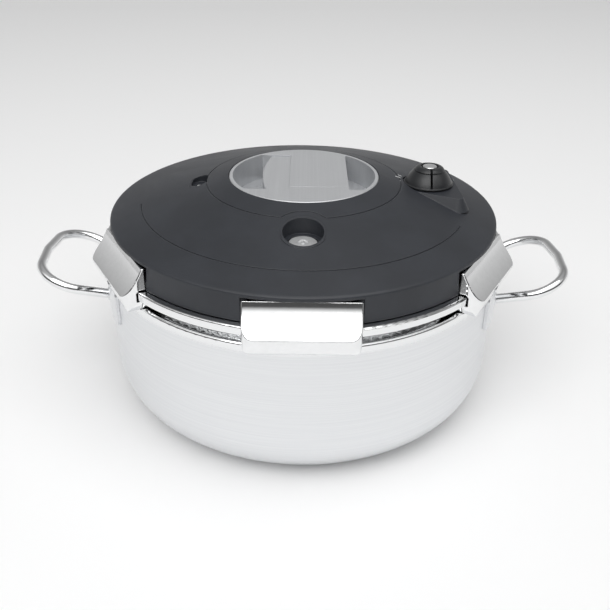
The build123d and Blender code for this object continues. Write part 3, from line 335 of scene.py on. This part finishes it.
finishes = {
    "satin_steel": pot_finish("satin_pot_steel", polish_height, polish_blend),
    "polished_steel": metal_finish("polished_steel", (0.87, 0.875, 0.88, 1), (0.83, 0.835, 0.84, 1),
                                   0.045, 0.075, even_lines, 0.02, edge_radius=0.0004),
    "aluminium_core": metal_finish("pressed_aluminium", (0.80, 0.80, 0.81, 1), (0.70, 0.70, 0.71, 1), 0.35, 0.5,
                                   round_lines, 0.1),
    # The second colour of each plastic is its edges' colour, part wear and part painted sheen.
    "black_cover": plastic_finish("charcoal_cover_plastic", (0.027, 0.030, 0.037, 1), (0.058, 0.062, 0.070, 1),
                                  0.50, 2300.0, 0.16, 0.0006),
    "silver_grip": metal_finish("satin_silver_grip", (0.62, 0.63, 0.645, 1), (0.57, 0.58, 0.595, 1), 0.32, 0.42,
                                grip_lines, 0.06, metallic=0.55),
    "pressed_steel": metal_finish("mill_steel", (0.68, 0.68, 0.69, 1), (0.58, 0.58, 0.59, 1), 0.28, 0.42,
                                  even_lines, 0.08),
    "zinc_steel": metal_finish("plated_steel", (0.62, 0.625, 0.64, 1), (0.52, 0.525, 0.54, 1), 0.25, 0.4,
                               even_lines, 0.06),
    "spring_steel": metal_finish("spring_wire_steel", (0.45, 0.45, 0.46, 1), (0.36, 0.36, 0.37, 1), 0.2, 0.32,
                                 even_lines, 0.04),
    "grey_silicone": rubber_finish("grey_silicone_rubber"),
    "black_knob": plastic_finish("black_knob_plastic", (0.018, 0.019, 0.021, 1), (0.045, 0.047, 0.05, 1), 0.36,
                                 3200.0, 0.08, 0.0004),
}
for part in frame["record"]["subparts"]:
    node = nodes[part["node"]]
    node.data.materials.clear()
    node.data.materials.append(finishes[part["material_slot"]])
turned = metal_finish("turned_steel", (0.80, 0.805, 0.81, 1), (0.74, 0.745, 0.75, 1), 0.28, 0.38,
                      even_lines, 0.04, metallic=0.6)
nodes["safety_plunger"].data.materials.clear()
nodes["safety_plunger"].data.materials.append(turned)
ink = print_finish("pale_print")


# ---------------------------------------------------------------- small made parts
def finish_piece(piece, name, body, material):
    """Name a modelled piece, bake its place into its mesh, give it its finish and let it ride on a body."""
    piece.name = name
    piece.data.name = name
    bpy.ops.object.select_all(action="DESELECT")
    piece.select_set(True)
    bpy.context.view_layer.objects.active = piece
    bpy.ops.object.transform_apply(location=True, rotation=True, scale=True)
    piece.data.materials.clear()
    piece.data.materials.append(material)
    bpy.ops.object.shade_smooth_by_angle(angle=smooth_angle)
    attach(piece, body)
    return piece


def join_pieces(pieces):
    """Join separate copies into one object."""
    bpy.ops.object.select_all(action="DESELECT")
    for piece in pieces:
        piece.select_set(True)
    bpy.context.view_layer.objects.active = pieces[0]
    bpy.ops.object.join()
    return pieces[0]


def apply_modifier(piece, kind, **settings):
    """Add a modifier, set it up and apply it."""
    bpy.context.view_layer.objects.active = piece
    modifier = piece.modifiers.new(kind.lower(), kind)
    for name, value in settings.items():
        setattr(modifier, name, value)
    bpy.ops.object.modifier_apply(modifier=modifier.name)


def tick_mark(length, width, thickness):
    """One printed dash with rounded ends, lying along X."""
    bpy.ops.mesh.primitive_cube_add(size=1.0)
    dash = bpy.context.object
    dash.scale = (length, width, thickness)
    bpy.ops.object.transform_apply(location=False, rotation=False, scale=True)
    apply_modifier(dash, "BEVEL", width=0.45 * width, segments=3, affect="EDGES", limit_method="ANGLE",
                   angle_limit=math.radians(60))
    return dash


knob_low, knob_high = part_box("steam_knob")
knob_centre = (knob_low + knob_high) / 2
knob_reach = (knob_high.x - knob_low.x) / 2


def print_knob_ticks():
    """Dashes printed round the knob that mark its settings."""
    dashes = []
    for angle, length in tick_places:
        turn = math.radians(angle - 90.0)
        away = knob_reach + tick_clearance + 0.0005 * length
        dash = tick_mark(0.001 * length, tick_width, tick_thickness)
        dash.rotation_euler = (0, 0, turn)
        dash.location = (knob_centre.x + away * math.cos(turn),
                         knob_centre.y + away * math.sin(turn), knob_low.z)
        dashes.append(dash)
    return dashes


def rest_on(piece, target, lift):
    """Lower a small flat piece onto the surface under it, tilted to that surface."""
    start = Vector((piece.location.x, piece.location.y, drop_height))
    hit, spot, normal, _ = target.ray_cast(start, Vector((0, 0, -1)))
    if hit:
        turn = piece.rotation_euler.z
        upright = Vector((0, 0, 1)).rotation_difference(normal)
        piece.rotation_mode = "QUATERNION"
        piece.rotation_quaternion = upright @ Matrix.Rotation(turn, 3, "Z").to_quaternion()
        piece.location = spot + lift * normal
    return piece


ticks = [rest_on(dash, nodes["lid_cover"], tick_lift) for dash in print_knob_ticks()]
finish_piece(join_pieces(ticks), "knob_setting_ticks", "lid", ink)


def weld_bead(side, end):
    """The rounded weld where one end of a handle rod meets its plate."""
    bpy.ops.mesh.primitive_torus_add(major_radius=weld_radius, minor_radius=weld_bead_radius,
                                     major_segments=48, minor_segments=12)
    bead = bpy.context.object
    bead.rotation_mode = "QUATERNION"
    bead.rotation_quaternion = Vector((0, 0, 1)).rotation_difference(
        Vector((side * weld_out, end * weld_across, 0)))
    bead.location = (side * weld_out, end * weld_across, weld_height)
    return bead


beads = [weld_bead(side, end) for side in (-1, 1) for end in (-1, 1)]
finish_piece(join_pieces(beads), "handle_weld_beads", "pot", finishes["satin_steel"])


# ---------------------------------------------------------------- studio
def build_floor():
    """A plain pale floor."""
    bpy.ops.mesh.primitive_plane_add(size=floor_size, location=(0, 0, 0))
    floor = bpy.context.object
    floor.name = "studio_floor"
    material, _, shader, _ = start_finish("pale_floor")
    shader.inputs["Base Color"].default_value = (0.95, 0.95, 0.95, 1)
    shader.inputs["Roughness"].default_value = 0.85
    floor.data.materials.append(material)


def ramp(tree, value, stops):
    """A grey level that follows a value from -1 to 1 through the given stops."""
    made = tree.nodes.new("ShaderNodeValToRGB")
    elements = made.color_ramp.elements
    elements[0].position, elements[1].position = 0.0, 1.0
    for position, level in stops:
        share = (position + 1.0) / 2.0
        element = elements.new(share)
        element.color = (level, level, level, 1)
    elements[0].color = elements[1].color
    elements[len(elements) - 1].color = elements[len(elements) - 2].color
    half = arithmetic(tree, "MULTIPLY", value, 0.5)
    tree.links.new(arithmetic(tree, "ADD", half, 0.5), made.inputs["Fac"])
    return made.outputs["Color"]


def build_world():
    """A studio all round: a large overhead light at the front, a pale sweep behind and dark gaps between."""
    world = bpy.data.worlds.new("studio")
    bpy.context.scene.world = world
    world.use_nodes = True
    tree = world.node_tree
    background = tree.nodes["Background"]
    coordinates = tree.nodes.new("ShaderNodeTexCoord")
    parts = make_node(tree, "ShaderNodeSeparateXYZ")
    tree.links.new(coordinates.outputs["Generated"], parts.inputs["Vector"])
    front = ramp(tree, parts.outputs["Z"], ((-0.05, 0.75), (0.0, 0.16), (0.12, 0.07), (0.46, 0.08),
                                            (0.54, 1.15), (0.86, 1.1), (0.97, 0.5)))
    back = ramp(tree, parts.outputs["Z"], ((-0.05, 0.8), (0.05, 0.62), (0.3, 0.42), (0.6, 0.24), (0.97, 0.5)))
    behind = spread(tree, parts.outputs["Y"], -0.35, 0.25, 0.0, 1.0)
    studio = blend_colours(tree, behind, front, back)
    seen = make_node(tree, "ShaderNodeLightPath").outputs["Is Camera Ray"]
    tree.links.new(blend_colours(tree, seen, studio, backdrop), background.inputs["Color"])
    background.inputs["Strength"].default_value = 1.0


def add_softbox(name, location, size, power, target=(0, 0, 0.08)):
    """A large soft light that looks at the cooker."""
    light = bpy.data.lights.new(name, "AREA")
    light.shape = "RECTANGLE"
    light.size, light.size_y = size
    light.energy = power
    lamp = bpy.data.objects.new(name, light)
    bpy.context.scene.collection.objects.link(lamp)
    lamp.location = location
    lamp.rotation_euler = (Vector(target) - Vector(location)).to_track_quat("-Z", "Y").to_euler()


def build_camera():
    """A camera above the front, looking down by thirty degrees."""
    distance, elevation, roll = 0.510, math.radians(30.05), 0.0136
    target = Vector((0, 0, 0.0503))
    camera = bpy.data.cameras.new("camera")
    camera.lens = 44.68
    camera.sensor_width = 36.0
    camera.shift_x, camera.shift_y = 0.0046, -0.0015
    holder = bpy.data.objects.new("camera", camera)
    bpy.context.scene.collection.objects.link(holder)
    holder.location = target + distance * Vector((0, -math.cos(elevation), math.sin(elevation)))
    look = (target - holder.location).to_track_quat("-Z", "Y")
    holder.rotation_euler = (look @ Matrix.Rotation(roll, 3, "Z").to_quaternion()).to_euler()
    bpy.context.scene.camera = holder


build_floor()
build_world()
add_softbox("key_softbox", (-0.35, -1.0, 1.35), (1.3, 0.9), softbox_power)
add_softbox("top_softbox", (0.3, -0.2, 1.8), (1.4, 1.4), softbox_power)
build_camera()
bpy.context.scene.view_settings.view_transform = "Standard"
